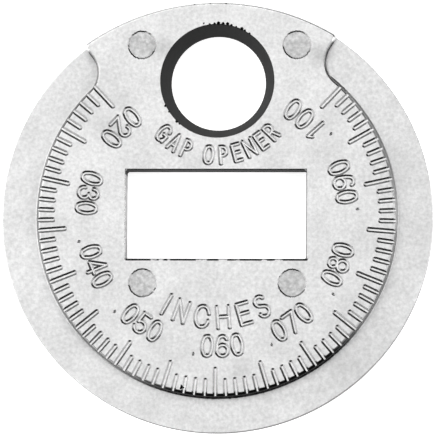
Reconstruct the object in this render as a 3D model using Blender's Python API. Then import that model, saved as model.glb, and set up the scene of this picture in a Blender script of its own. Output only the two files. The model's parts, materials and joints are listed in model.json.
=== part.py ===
"""Spark plug gap gauge shaped like a coin, modelled as the one zinc die casting that it is.

The coin lies flat with its inch scale up. The row frame has its origin at the coin's centre on the
surface it rests on, +Z out of the inch side, and +Y towards the hole that opens a plug's gap.

A thin flange runs round the rim and grows thicker by a thousandth of an inch from one graduation
to the next. The plug's electrodes are slid along it until they touch, and the graduation beside
them gives the gap. The hard part of the form is that flange: a ramp on both faces that climbs
round the rim, meets the step of the scale with a cove, and runs into the end walls of the thick
top section, with a sunk graduation for every step of the gap that runs out through the step.
"""

import math

import bmesh
import bpy
from mathutils import Vector

MM = 0.001
INCH = 0.0254

# The coin's body, a thick disc with the scale on each face
BODY_THICKNESS = 4.0 * MM
SCALE_RADIUS = 22.93 * MM
EDGE_ROUNDING = 0.45 * MM
WALL_DRAFT = math.radians(2.0)

# The thick top section, which reaches out to the coin's rim between two end walls
CROWN_HEIGHT = 27.5 * MM
CROWN_RADIUS = 29.3 * MM
RIGHT_WALL = math.radians(56.5)
LEFT_WALL = math.radians(128.0)
WALL_FILLET = 3.4 * MM
CORNER_RADIUS = 0.6 * MM

# The measuring flange round the rim, and where on it each gap lies
RAMP_RADIUS = 27.5 * MM
RAMP_COVE = 0.3 * MM
RAMP_RIM_ROUNDING = 0.1 * MM
FIRST_GAP = 0.020 * INCH
LAST_GAP = 0.100 * INCH
FIRST_GAP_ANGLE = math.radians(133.3)
LAST_GAP_ANGLE = math.radians(406.45)

# The sunk graduations: thousandths of an inch on the front, twentieths of a millimetre behind
INCH_MARK_STEP = 0.001 * INCH
INCH_MARKS = 81
MM_MARK_FIRST = 0.5 * MM
MM_MARK_STEP = 0.05 * MM
MM_MARKS = 41
MARKS_PER_LONG = 5
LONG_MARK_LENGTH = 3.77 * MM
SHORT_MARK_LENGTH = 2.32 * MM
MARK_FLOOR_WIDTH = 0.24 * MM
MARK_DEPTH = 0.18 * MM
MARK_DRAFT = math.radians(45.0)

# The window through the middle of the coin
SLOT_LENGTH = 23.05 * MM
SLOT_WIDTH = 11.4 * MM
SLOT_CENTRE = Vector((-0.11 * MM, 0.34 * MM))
SLOT_CORNER = 0.3 * MM

# The tapered hole whose lip bends a plug's electrode, and the metal left between it and the rim
HOLE_MOUTH_RADIUS = 7.3 * MM
HOLE_LIP_RADIUS = 6.05 * MM
HOLE_LAND = 0.6 * MM
HOLE_RIM_WALL = 2.8 * MM
HOLE_CENTRE = Vector((0.0, CROWN_HEIGHT - HOLE_RIM_WALL - HOLE_MOUTH_RADIUS))

# The four shallow round marks that the die's ejector pins leave in the front, two beside the hole
# and two below the window
PIN_RADIUS = 1.66 * MM
PIN_DEPTH = 0.12 * MM
PIN_SLOPE = 0.14 * MM
PIN_BELOW_CROWN = 5.5 * MM
PIN_BELOW_SLOT = 3.09 * MM
UPPER_PIN_Y = CROWN_HEIGHT - PIN_BELOW_CROWN
LOWER_PIN_Y = SLOT_CENTRE.y - SLOT_WIDTH / 2 - PIN_BELOW_SLOT
PIN_CENTRES = (
    Vector((-9.65 * MM, UPPER_PIN_Y)),
    Vector((10.15 * MM, UPPER_PIN_Y)),
    Vector((-9.4 * MM, LOWER_PIN_Y)),
    Vector((9.65 * MM, LOWER_PIN_Y)),
)

# How finely the round stretches are divided
ARC_STEP = math.radians(2.0)
SMALL_ARC_STEP = math.radians(14.0)
EDGE_SEGMENTS = 2
HOLE_SEGMENTS = 72
PIN_SEGMENTS = 32
MARK_END_SEGMENTS = 4
SLOT_CORNER_SEGMENTS = 3
SHARP_ANGLE = math.radians(30.0)
CUTTER_OVERRUN = 1.0 * MM
SHALLOW_OVERRUN = 0.1 * MM


def clear_scene():
    """Empties the scene without closing the file that the script runs from."""
    for old in list(bpy.data.objects):
        bpy.data.objects.remove(old)


def polar(radius, angle):
    return Vector((radius * math.cos(angle), radius * math.sin(angle)))


def gap_angle(gap):
    """The direction, seen from the coin's centre, in which the flange is as thick as the gap."""
    share = (gap - FIRST_GAP) / (LAST_GAP - FIRST_GAP)
    return FIRST_GAP_ANGLE + share * (LAST_GAP_ANGLE - FIRST_GAP_ANGLE)


def gap_at(angle):
    """The flange's thickness in a direction."""
    share = (angle - FIRST_GAP_ANGLE) / (LAST_GAP_ANGLE - FIRST_GAP_ANGLE)
    return FIRST_GAP + share * (LAST_GAP - FIRST_GAP)


def crown_centre():
    return Vector((0.0, CROWN_HEIGHT - CROWN_RADIUS))


def corner_centre(wall, inward):
    """The centre of the small corner arc that touches an end wall and the crown."""
    along = polar(1.0, wall)
    across = polar(1.0, wall + inward * math.pi / 2)
    start = CORNER_RADIUS * across - crown_centre()
    half = along.dot(start)
    reach = CROWN_RADIUS - CORNER_RADIUS
    return CORNER_RADIUS * across + along * (math.sqrt(half**2 - start.dot(start) + reach**2) - half)


def direction(vector):
    return math.atan2(vector.y, vector.x)


def body_arcs():
    """The body's outline as arcs, anticlockwise: centre, radius, first and last direction, step.

    The straight end walls are the gaps between one arc's end and the next one's start.
    """
    reach = SCALE_RADIUS + WALL_FILLET
    swing = math.asin(WALL_FILLET / reach)
    right = RIGHT_WALL - swing
    left = LEFT_WALL + swing
    right_corner = corner_centre(RIGHT_WALL, 1)
    left_corner = corner_centre(LEFT_WALL, -1)
    crown = crown_centre()
    crown_start = direction(right_corner - crown)
    crown_end = direction(left_corner - crown)
    quarter = math.pi / 2
    return (
        (Vector((0.0, 0.0)), SCALE_RADIUS, left, 2 * math.pi + right, ARC_STEP),
        (polar(reach, right), WALL_FILLET, right + math.pi, RIGHT_WALL + quarter, SMALL_ARC_STEP),
        (right_corner, CORNER_RADIUS, RIGHT_WALL - quarter, crown_start, SMALL_ARC_STEP),
        (crown, CROWN_RADIUS, crown_start, crown_end, ARC_STEP),
        (left_corner, CORNER_RADIUS, crown_end, LEFT_WALL + quarter, SMALL_ARC_STEP),
        (polar(reach, left), WALL_FILLET, LEFT_WALL - quarter, left - math.pi, SMALL_ARC_STEP),
    )


def body_outline(offset):
    """The body's outline moved outwards by an offset, always with as many points."""
    points = []
    for centre, radius, first, last, step in body_arcs():
        outwards = 1 if last > first else -1
        count = max(2, math.ceil(abs(last - first) / step))
        for i in range(count + 1):
            angle = first + (last - first) * i / count
            points.append(centre + polar(radius + outwards * offset, angle))
    first_point = points[0]
    distinct = [first_point]
    for point in points[1:]:
        if (point - distinct[-1]).length > 1e-7 and (point - first_point).length > 1e-7:
            distinct.append(point)
    return distinct


def loft(name, loops):
    """A closed solid through loops of points that have as many points each."""
    mesh = bpy.data.meshes.new(name)
    bm = bmesh.new()
    rings = [[bm.verts.new(point) for point in loop] for loop in loops]
    for lower, upper in zip(rings, rings[1:]):
        for i in range(len(lower)):
            following = (i + 1) % len(lower)
            bm.faces.new((lower[i], lower[following], upper[following], upper[i]))
    bm.faces.new(list(reversed(rings[0])))
    bm.faces.new(rings[-1])
    bmesh.ops.recalc_face_normals(bm, faces=bm.faces)
    bm.to_mesh(mesh)
    bm.free()
    return mesh


def at_height(points, z):
    return [Vector((point.x, point.y, z)) for point in points]


def add_object(name, mesh, parent):
    """An object whose coordinates are measured from the casting's middle plane."""
    mesh.shade_smooth()
    mesh.set_sharp_from_angle(angle=SHARP_ANGLE)
    obj = bpy.data.objects.new(name, mesh)
    bpy.context.scene.collection.objects.link(obj)
    obj.parent = parent
    return obj


def body_mesh():
    """The thick disc with its crown, drafted from each face to the parting line, edges rounded."""
    below_edge = BODY_THICKNESS / 2 - EDGE_ROUNDING
    upper = [(0.0, below_edge * math.tan(WALL_DRAFT))]
    for i in range(EDGE_SEGMENTS + 1):
        turn = math.pi / 2 * i / EDGE_SEGMENTS
        rise = below_edge + EDGE_ROUNDING * math.sin(turn)
        upper.append((rise, EDGE_ROUNDING * (math.cos(turn) - 1)))
    lower = [(-z, offset) for z, offset in reversed(upper[1:])]
    return loft("gauge_body", [at_height(body_outline(offset), z) for z, offset in lower + upper])


def ramp_section(angle):
    """The flange's upright section in one direction, from inside the body out to the rim."""
    half = gap_at(angle) / 2
    rim = min(RAMP_RIM_ROUNDING, 0.4 * half)
    upper = (
        (SCALE_RADIUS - RAMP_COVE, half + 1.6 * RAMP_COVE),
        (SCALE_RADIUS + 0.15 * RAMP_COVE, half + RAMP_COVE),
        (SCALE_RADIUS + 0.5 * RAMP_COVE, half + 0.35 * RAMP_COVE),
        (SCALE_RADIUS + 1.2 * RAMP_COVE, half),
        (RAMP_RADIUS - rim, half),
        (RAMP_RADIUS, half - rim),
    )
    lower = tuple((radius, -z) for radius, z in reversed(upper))
    return [polar(radius, angle).to_3d() + Vector((0.0, 0.0, z)) for radius, z in upper + lower]


def ramp_mesh():
    """The measuring flange, swept round the rim and buried at both ends in the top section."""
    buried = WALL_FILLET / RAMP_RADIUS
    first = LEFT_WALL - buried
    last = 2 * math.pi + RIGHT_WALL + buried
    count = math.ceil((last - first) / ARC_STEP)
    sections = [ramp_section(first + (last - first) * i / count) for i in range(count + 1)]
    mesh = loft("ramp", sections)
    bm = bmesh.new()
    bm.from_mesh(mesh)
    bmesh.ops.triangulate(bm, faces=bm.faces)
    bm.to_mesh(mesh)
    bm.free()
    return mesh


def mark_half_width(depth):
    """Half of a graduation's width at a depth below the face."""
    return MARK_FLOOR_WIDTH / 2 + (MARK_DEPTH - depth) * math.tan(MARK_DRAFT)


def mark_outline(angle, length, half_width):
    """A graduation's cutter seen from above: round at its inner end, square past the scale's edge."""
    along = polar(1.0, angle)
    across = polar(1.0, angle + math.pi / 2)
    end = SCALE_RADIUS + CUTTER_OVERRUN
    points = [along * end - across * half_width, along * end + across * half_width]
    centre = along * (SCALE_RADIUS - length + mark_half_width(0.0))
    for i in range(MARK_END_SEGMENTS + 1):
        turn = math.pi / 2 + math.pi * i / MARK_END_SEGMENTS
        points.append(centre + polar(half_width, angle + turn))
    return points


def marks_mesh(name, angles, side):
    """The tapered cutters of one face's graduations, side 1 for the front and -1 for the back."""
    face = BODY_THICKNESS / 2
    whole = bmesh.new()
    for i, angle in enumerate(angles):
        length = SHORT_MARK_LENGTH if i % MARKS_PER_LONG else LONG_MARK_LENGTH
        loops = []
        for depth in (MARK_DEPTH, -SHALLOW_OVERRUN):
            outline = mark_outline(angle, length, mark_half_width(depth))
            loops.append(at_height(outline, side * (face - depth)))
        groove = loft(name, loops)
        whole.from_mesh(groove)
        bpy.data.meshes.remove(groove)
    bmesh.ops.recalc_face_normals(whole, faces=whole.faces)
    mesh = bpy.data.meshes.new(name)
    whole.to_mesh(mesh)
    whole.free()
    return mesh


def inch_mark_angles():
    return [gap_angle(FIRST_GAP + i * INCH_MARK_STEP) for i in range(INCH_MARKS)]


def mm_mark_angles():
    return [gap_angle(MM_MARK_FIRST + i * MM_MARK_STEP) for i in range(MM_MARKS)]


def slot_mesh():
    """The window's cutter, a block with small round corners that runs past both faces."""
    reach = BODY_THICKNESS / 2 + CUTTER_OVERRUN
    across = SLOT_LENGTH / 2 - SLOT_CORNER
    up = SLOT_WIDTH / 2 - SLOT_CORNER
    corners = ((across, up, 0.0), (-across, up, 90.0), (-across, -up, 180.0), (across, -up, 270.0))
    points = []
    for x, y, first in corners:
        for i in range(SLOT_CORNER_SEGMENTS + 1):
            turn = math.radians(first + 90.0 * i / SLOT_CORNER_SEGMENTS)
            points.append(SLOT_CENTRE + Vector((x, y)) + polar(SLOT_CORNER, turn))
    return loft("slot_cutter", [at_height(points, -reach), at_height(points, reach)])


def circle(centre, radius, segments):
    return [centre + polar(radius, 2 * math.pi * i / segments) for i in range(segments)]


def hole_mesh():
    """The gap opener's cutter: a short round land behind and a taper out to the front face."""
    half = BODY_THICKNESS / 2
    taper = (HOLE_MOUTH_RADIUS - HOLE_LIP_RADIUS) / (BODY_THICKNESS - HOLE_LAND)
    levels = (
        (-half - CUTTER_OVERRUN, HOLE_LIP_RADIUS),
        (-half + HOLE_LAND, HOLE_LIP_RADIUS),
        (half + CUTTER_OVERRUN, HOLE_MOUTH_RADIUS + CUTTER_OVERRUN * taper),
    )
    loops = [at_height(circle(HOLE_CENTRE, radius, HOLE_SEGMENTS), z) for z, radius in levels]
    return loft("hole_cutter", loops)


def pin_mesh(centre):
    """The cutter for one ejector pin's mark, a shallow dish whose wall leans outwards."""
    face = BODY_THICKNESS / 2
    mouth_radius = PIN_RADIUS + PIN_SLOPE * (PIN_DEPTH + SHALLOW_OVERRUN) / PIN_DEPTH
    floor = circle(centre, PIN_RADIUS, PIN_SEGMENTS)
    mouth = circle(centre, mouth_radius, PIN_SEGMENTS)
    return loft("pin_cutter", [at_height(floor, face - PIN_DEPTH), at_height(mouth, face + SHALLOW_OVERRUN)])


def combine(body, name, mesh, operation, parent):
    """Joins a tool to the body or cuts it away, with a modifier that stays on the body."""
    tool = add_object(name, mesh, parent)
    tool.hide_render = True
    tool.display_type = "WIRE"
    modifier = body.modifiers.new(name, "BOOLEAN")
    modifier.operation = operation
    modifier.solver = "EXACT"
    modifier.object = tool


def zinc_material():
    """Bare die-cast zinc, light grey and satin."""
    material = bpy.data.materials.new("die_cast_zinc")
    material.use_nodes = True
    shader = material.node_tree.nodes["Principled BSDF"]
    shader.inputs["Base Color"].default_value = (0.62, 0.62, 0.61, 1.0)
    shader.inputs["Metallic"].default_value = 1.0
    shader.inputs["Roughness"].default_value = 0.42
    return material


def gauge():
    """Builds the casting on an empty that holds its middle plane above the resting surface."""
    middle = bpy.data.objects.new("middle_plane", None)
    middle.location.z = BODY_THICKNESS / 2
    bpy.context.scene.collection.objects.link(middle)
    body = add_object("gauge_body", body_mesh(), middle)
    body.data.materials.append(zinc_material())
    combine(body, "ramp", ramp_mesh(), "UNION", middle)
    inch_marks = marks_mesh("inch_marks", inch_mark_angles(), 1)
    mm_marks = marks_mesh("mm_marks", mm_mark_angles(), -1)
    combine(body, "inch_marks", inch_marks, "DIFFERENCE", middle)
    combine(body, "mm_marks", mm_marks, "DIFFERENCE", middle)
    combine(body, "slot_cutter", slot_mesh(), "DIFFERENCE", middle)
    combine(body, "hole_cutter", hole_mesh(), "DIFFERENCE", middle)
    for number, centre in enumerate(PIN_CENTRES, 1):
        combine(body, f"pin_cutter_{number}", pin_mesh(centre), "DIFFERENCE", middle)


clear_scene()
gauge()
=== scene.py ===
# %% [markdown]
# # A spark plug gap gauge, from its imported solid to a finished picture
#
# The object is a coin of die-cast zinc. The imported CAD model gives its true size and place, and
# this script gives it the surface that the real casting has: rounded edges, small coves, sunk
# graduations and numerals, and bare metal with the mottle of the die.
#
# The frame comes first. Everything below is in metres in the same frame, so a piece goes where the
# CAD model says and needs no fitting.

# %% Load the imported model
import json
import math
import random

import bmesh
import bpy
from mathutils import Matrix, Vector

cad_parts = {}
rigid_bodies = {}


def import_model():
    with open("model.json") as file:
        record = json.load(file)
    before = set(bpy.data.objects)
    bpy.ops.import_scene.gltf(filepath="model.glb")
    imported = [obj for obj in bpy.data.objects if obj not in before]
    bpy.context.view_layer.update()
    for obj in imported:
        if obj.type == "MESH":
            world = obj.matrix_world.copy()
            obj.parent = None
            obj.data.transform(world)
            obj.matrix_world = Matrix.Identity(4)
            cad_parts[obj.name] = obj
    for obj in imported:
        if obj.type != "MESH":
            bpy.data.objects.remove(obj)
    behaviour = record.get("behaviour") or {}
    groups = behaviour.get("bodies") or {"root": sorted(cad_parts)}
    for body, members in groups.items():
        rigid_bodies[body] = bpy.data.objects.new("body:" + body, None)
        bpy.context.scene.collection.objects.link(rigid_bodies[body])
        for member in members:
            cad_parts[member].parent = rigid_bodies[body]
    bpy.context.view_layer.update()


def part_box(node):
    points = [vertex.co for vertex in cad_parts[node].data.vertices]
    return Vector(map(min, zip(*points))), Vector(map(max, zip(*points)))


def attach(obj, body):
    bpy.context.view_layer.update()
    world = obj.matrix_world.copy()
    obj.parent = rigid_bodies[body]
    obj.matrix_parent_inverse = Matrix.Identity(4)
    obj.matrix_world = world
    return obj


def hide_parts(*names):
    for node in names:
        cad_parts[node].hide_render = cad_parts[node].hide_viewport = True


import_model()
LOW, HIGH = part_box("gauge_body")
MM = 0.001

# %% [markdown]
# ## The sizes
#
# The coin's radius and its overall thickness are read from the CAD node. The rest repeats the
# driving sizes of the CAD source, because a casting that is drawn twice has to be the same casting.
# Three sizes are finish and are set here: the easing of the window's mouth, and the slope and the
# unevenness of the ejector pins' marks.

# %% Sizes shared with the CAD source
INCH = 25.4 * MM
RAMP_RADIUS = (HIGH.x - LOW.x) / 2
BODY_THICKNESS = HIGH.z - LOW.z
HALF = BODY_THICKNESS / 2
MIDDLE = (HIGH.z + LOW.z) / 2
SCALE_RADIUS = 22.93 * MM
EDGE_ROUNDING = 0.45 * MM
DRAFT_SPREAD = (HALF - EDGE_ROUNDING) * math.tan(math.radians(2.0))

CROWN_HEIGHT = 27.5 * MM
CROWN_RADIUS = 29.3 * MM
RIGHT_WALL = math.radians(56.5)
LEFT_WALL = math.radians(128.0)
WALL_FILLET = 3.4 * MM
CORNER_RADIUS = 0.6 * MM

RAMP_COVE = 0.3 * MM
RIM_ROUNDING = 0.1 * MM
FIRST_GAP = 0.020 * INCH
LAST_GAP = 0.100 * INCH
FIRST_GAP_ANGLE = math.radians(133.3)
LAST_GAP_ANGLE = math.radians(406.45)

SLOT_LENGTH = 23.05 * MM
SLOT_WIDTH = 11.4 * MM
SLOT_CENTRE = Vector((-0.11 * MM, 0.34 * MM, 0.0))
SLOT_CORNER = 0.3 * MM
SLOT_EASING = 0.1 * MM
HOLE_MOUTH = 7.3 * MM
HOLE_LIP = 6.05 * MM
HOLE_LAND = 0.6 * MM
HOLE_RIM_WALL = 2.8 * MM
HOLE_CENTRE = Vector((0.0, CROWN_HEIGHT - HOLE_RIM_WALL - HOLE_MOUTH, 0.0))

PIN_RADIUS = 1.66 * MM
PIN_DEPTH = 0.12 * MM
PIN_SLOPE = 0.19 * MM
PIN_UNEVENNESS = 0.045 * MM
UPPER_PIN_Y = CROWN_HEIGHT - 5.5 * MM
LOWER_PIN_Y = SLOT_CENTRE.y - SLOT_WIDTH / 2 - 3.09 * MM
PIN_CENTRES = (
    Vector((-9.65 * MM, UPPER_PIN_Y, 0.0)),
    Vector((10.15 * MM, UPPER_PIN_Y, 0.0)),
    Vector((-9.4 * MM, LOWER_PIN_Y, 0.0)),
    Vector((9.65 * MM, LOWER_PIN_Y, 0.0)),
)
print("ramp radius", round(RAMP_RADIUS / MM, 3), "mm, body", round(BODY_THICKNESS / MM, 3), "mm thick")

# %% [markdown]
# ## The camera
#
# The gauge lies flat and is seen from almost straight above, a few degrees off towards the lower
# right. That small tilt is what shows the tapered wall of the hole wider at the top than at the
# bottom. A long lens from two thirds of a metre keeps the circles round.

# %% Camera
PHOTO_WIDTH = 439
PHOTO_MM_PER_PIXEL = 0.1272
SENSOR = 36 * MM
CAMERA_ROLL = math.radians(0.3)
camera_place = Vector((38.0, -58.0, 700.0)) * MM
camera_target = Vector((0.39, -0.31, 4.2)) * MM

camera_data = bpy.data.cameras.new("camera")
camera = bpy.data.objects.new("camera", camera_data)
bpy.context.scene.collection.objects.link(camera)
polar_up = Vector((-math.sin(CAMERA_ROLL), math.cos(CAMERA_ROLL), 0.0))
backwards = (camera_place - camera_target).normalized()
rightwards = polar_up.cross(backwards).normalized()
upwards = backwards.cross(rightwards)
turned = Matrix((rightwards, upwards, backwards)).transposed().to_4x4()
camera.matrix_world = Matrix.Translation(camera_place) @ turned
camera_data.sensor_width = SENSOR * 1000
distance = (camera_target - camera_place).length
camera_data.lens = camera_data.sensor_width * distance / (PHOTO_WIDTH * PHOTO_MM_PER_PIXEL * MM)
camera_data.clip_start = 0.01
bpy.context.scene.camera = camera
print("lens", round(camera_data.lens, 1), "mm")

# %% [markdown]
# ## Helpers for solids
#
# Each piece is drawn in a bmesh and turned into an object at the origin, with its place in its
# mesh. Booleans are applied at once by reading the evaluated mesh back.

# %% Helpers for solids
def polar(radius, angle, z=0.0):
    return Vector((radius * math.cos(angle), radius * math.sin(angle), z))


def to_mesh(bm, name):
    mesh = bpy.data.meshes.new(name)
    bm.to_mesh(mesh)
    bm.free()
    return mesh


def add_object(name, mesh):
    obj = bpy.data.objects.new(name, mesh)
    bpy.context.scene.collection.objects.link(obj)
    return obj


def bevel(bm, edges, offset, segments):
    bmesh.ops.bevel(
        bm, geom=edges, offset=offset, segments=segments, affect="EDGES", profile=0.5, material=-1,
    )


def spin_full(bm, geometry, centre, steps):
    """Spins vertices and edges once round an upright axis and closes the solid at the poles."""
    bmesh.ops.spin(
        bm, geom=geometry, cent=centre, axis=(0, 0, 1), angle=2 * math.pi, steps=steps, use_merge=True,
    )


def boolean(body, tool, operation, solver="EXACT"):
    """Joins or cuts the body with the tool, which is used up."""
    modifier = body.modifiers.new("tool", "BOOLEAN")
    modifier.operation = operation
    modifier.solver = solver
    modifier.object = tool
    evaluated = body.evaluated_get(bpy.context.evaluated_depsgraph_get())
    mesh = bpy.data.meshes.new_from_object(evaluated)
    body.modifiers.clear()
    old = body.data
    body.data = mesh
    bpy.data.meshes.remove(old)
    bpy.data.objects.remove(tool)


def gap_at(angle):
    """How thick the flange is in a direction."""
    share = (angle - FIRST_GAP_ANGLE) / (LAST_GAP_ANGLE - FIRST_GAP_ANGLE)
    return FIRST_GAP + share * (LAST_GAP - FIRST_GAP)


def gap_angle(gap):
    share = (gap - FIRST_GAP) / (LAST_GAP - FIRST_GAP)
    return FIRST_GAP_ANGLE + share * (LAST_GAP_ANGLE - FIRST_GAP_ANGLE)


# %% [markdown]
# ## The outline of the thick body
#
# Seen from above the body is a disc with a crown: the scale's edge, a fillet up to each end wall,
# a small corner, and the flatter arc of the crown. Every one of them is an arc, so each is drawn by
# spinning a single vertex about the arc's centre. The straight end walls are the edges that join
# one arc to the next.

# %% The outline
ARC_STEP = math.radians(1.0)
SMALL_ARC_STEP = math.radians(8.0)


def heading(vector):
    return math.atan2(vector.y, vector.x)


def corner_centre(wall, inward):
    """The centre of the small arc that touches an end wall and the crown."""
    along = polar(1.0, wall)
    across = polar(1.0, wall + inward * math.pi / 2)
    start = CORNER_RADIUS * across - Vector((0.0, CROWN_HEIGHT - CROWN_RADIUS, 0.0))
    half = along.dot(start)
    reach = CROWN_RADIUS - CORNER_RADIUS
    return CORNER_RADIUS * across + along * (math.sqrt(half**2 - start.dot(start) + reach**2) - half)


def body_arcs():
    """Centre, radius, first and last direction and step of each arc, anticlockwise."""
    crown = Vector((0.0, CROWN_HEIGHT - CROWN_RADIUS, 0.0))
    swing = math.asin(WALL_FILLET / (SCALE_RADIUS + WALL_FILLET))
    right, left = RIGHT_WALL - swing, LEFT_WALL + swing
    right_corner, left_corner = corner_centre(RIGHT_WALL, 1), corner_centre(LEFT_WALL, -1)
    crown_start, crown_end = heading(right_corner - crown), heading(left_corner - crown)
    reach = SCALE_RADIUS + WALL_FILLET
    quarter = math.pi / 2
    return (
        (Vector(), SCALE_RADIUS, left, 2 * math.pi + right, ARC_STEP),
        (polar(reach, right), WALL_FILLET, right + math.pi, RIGHT_WALL + quarter, SMALL_ARC_STEP),
        (right_corner, CORNER_RADIUS, RIGHT_WALL - quarter, crown_start, SMALL_ARC_STEP),
        (crown, CROWN_RADIUS, crown_start, crown_end, ARC_STEP),
        (left_corner, CORNER_RADIUS, crown_end, LEFT_WALL + quarter, SMALL_ARC_STEP),
        (polar(reach, left), WALL_FILLET, LEFT_WALL - quarter, left - math.pi, SMALL_ARC_STEP),
    )


def outline_face(bm, offset):
    """The body's outline, moved outwards by an offset, as one face."""
    firsts, lasts = [], []
    for centre, radius, first, last, step in body_arcs():
        convex = 1 if last > first else -1
        start = bm.verts.new(centre + polar(radius + convex * offset, first))
        arc = bmesh.ops.spin(
            bm, geom=[start], cent=centre, axis=(0, 0, 1), angle=last - first,
            steps=math.ceil(abs(last - first) / step), use_merge=False,
        )
        firsts.append(start)
        lasts.append([item for item in arc["geom_last"] if isinstance(item, bmesh.types.BMVert)][0])
    for last, following in zip(lasts, firsts[1:] + firsts[:1]):
        if (last.co - following.co).length > 1e-6:
            bm.edges.new((last, following))
    bmesh.ops.remove_doubles(bm, verts=bm.verts, dist=1e-6)
    return bmesh.ops.contextual_create(bm, geom=list(bm.edges))["faces"][0]


# %% [markdown]
# ## The body
#
# A die opens along a parting line, so the walls lean out towards it by a degree or two. One half is
# made from the outline by a single inset that also rises, which gives the drafted wall, then the rim
# is bevelled. The other half is its mirror image.

# %% The body
def mirror_down(bm):
    """Adds the half below the middle plane and welds the two."""
    copy = bmesh.ops.duplicate(bm, geom=bm.verts[:] + bm.edges[:] + bm.faces[:])["geom"]
    verts = [item for item in copy if isinstance(item, bmesh.types.BMVert)]
    bmesh.ops.scale(bm, vec=(1, 1, -1), verts=verts)
    bmesh.ops.remove_doubles(bm, verts=bm.verts, dist=1e-7)
    bmesh.ops.recalc_face_normals(bm, faces=bm.faces)


def make_body():
    bm = bmesh.new()
    top = outline_face(bm, DRAFT_SPREAD)
    if top.normal.z < 0:
        top.normal_flip()
    bmesh.ops.inset_region(
        bm, faces=[top], thickness=DRAFT_SPREAD, depth=HALF, use_even_offset=True, use_boundary=True,
    )
    rim = [edge for edge in bm.edges if all(vert.co.z > HALF / 2 for vert in edge.verts)]
    bevel(bm, rim, EDGE_ROUNDING, 8)
    mirror_down(bm)
    print("body:", len(bm.faces), "faces, open edges", sum(edge.is_boundary for edge in bm.edges))
    return add_object("casting", to_mesh(bm, "casting"))


casting = make_body()

# %% [markdown]
# ## The measuring flange
#
# The flange is a ramp on both faces. Its section is drawn once where it is thinnest and spun round
# the rim. Every vertex is then moved away from the middle plane by half of what the gap has grown
# by there, so the thickness under each graduation is that graduation's gap.

# %% The flange
BURIED_RISE = 1.6 * RAMP_COVE
COVE_OFFSET = 1.1 * RAMP_COVE


def bend(centre, radius, first, last, count):
    """Points of an arc in the section, as distance from the axis and height."""
    turns = [math.radians(first + (last - first) * i / count) for i in range(count + 1)]
    return [(centre[0] + radius * math.cos(turn), centre[1] + radius * math.sin(turn)) for turn in turns]


def make_flange():
    buried = WALL_FILLET / RAMP_RADIUS
    first = LEFT_WALL - buried
    last = 2 * math.pi + RIGHT_WALL + buried
    half = gap_at(first) / 2
    root = SCALE_RADIUS - RAMP_COVE
    upper = [(root, half + BURIED_RISE)]
    upper += bend((SCALE_RADIUS + COVE_OFFSET, half + RAMP_COVE), RAMP_COVE, 180, 270, 6)
    upper += bend((RAMP_RADIUS - RIM_ROUNDING, half - RIM_ROUNDING), RIM_ROUNDING, 90, 0, 5)
    section = upper + [(radius, -z) for radius, z in reversed(upper)]
    bm = bmesh.new()
    corners = [bm.verts.new(polar(radius, first, z)) for radius, z in section]
    face = bm.faces.new(corners)
    bmesh.ops.spin(
        bm, geom=[face], cent=(0, 0, 0), axis=(0, 0, 1), angle=last - first,
        steps=math.ceil((last - first) / ARC_STEP), use_merge=False,
    )
    for vert in bm.verts:
        angle = heading(vert.co)
        while angle < first - ARC_STEP / 2:
            angle += 2 * math.pi
        growth = (gap_at(angle) - gap_at(first)) / 2
        vert.co.z += math.copysign(growth, vert.co.z)
    bmesh.ops.triangulate(bm, faces=[f for f in bm.faces if len(f.verts) == 4])
    bmesh.ops.recalc_face_normals(bm, faces=bm.faces)
    ends = [round(gap_at(angle) / MM, 3) for angle in (first, last)]
    print("flange:", len(bm.faces), "faces, from", ends[0], "to", ends[1], "mm")
    return add_object("flange", to_mesh(bm, "flange"))


boolean(casting, make_flange(), "UNION")

# %% [markdown]
# ## The window, the hole and the ejector pins' marks
#
# The window's cutter is a cube whose upright edges are bevelled. The hole's cutter is turned: its
# profile is a short land at the back and a taper out to the mouth. The pins that push the casting
# out of its die stand a little proud of the die's face, so each leaves a shallow round dish, cut
# here with a cone.

# %% The openings
OVERRUN = 1.0 * MM
# The easing's cut ends a hair past the window's own wall, so that the two don't share an edge.
EASING_OVERCUT = 1.02


def window_cutter():
    bm = bmesh.new()
    bmesh.ops.create_cube(bm, size=1.0)
    bmesh.ops.scale(bm, vec=(SLOT_LENGTH, SLOT_WIDTH, BODY_THICKNESS + 2 * OVERRUN), verts=bm.verts)
    bmesh.ops.translate(bm, vec=SLOT_CENTRE, verts=bm.verts)
    upright = [edge for edge in bm.edges if abs(edge.verts[0].co.z - edge.verts[1].co.z) > HALF]
    bevel(bm, upright, SLOT_CORNER, 5)
    return add_object("window_cutter", to_mesh(bm, "window_cutter"))


def window_mouth():
    """A wider, shallow box with its lower edges cut away, which eases the window's mouth."""
    bm = bmesh.new()
    bmesh.ops.create_cube(bm, size=1.0)
    size = (SLOT_LENGTH + 2 * SLOT_EASING, SLOT_WIDTH + 2 * SLOT_EASING, 2 * SLOT_EASING)
    bmesh.ops.scale(bm, vec=size, verts=bm.verts)
    bmesh.ops.translate(bm, vec=SLOT_CENTRE + Vector((0.0, 0.0, HALF)), verts=bm.verts)
    lower = [edge for edge in bm.edges if all(vert.co.z < HALF for vert in edge.verts)]
    bevel(bm, lower, SLOT_EASING * EASING_OVERCUT, 1)
    return add_object("window_mouth", to_mesh(bm, "window_mouth"))


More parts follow.
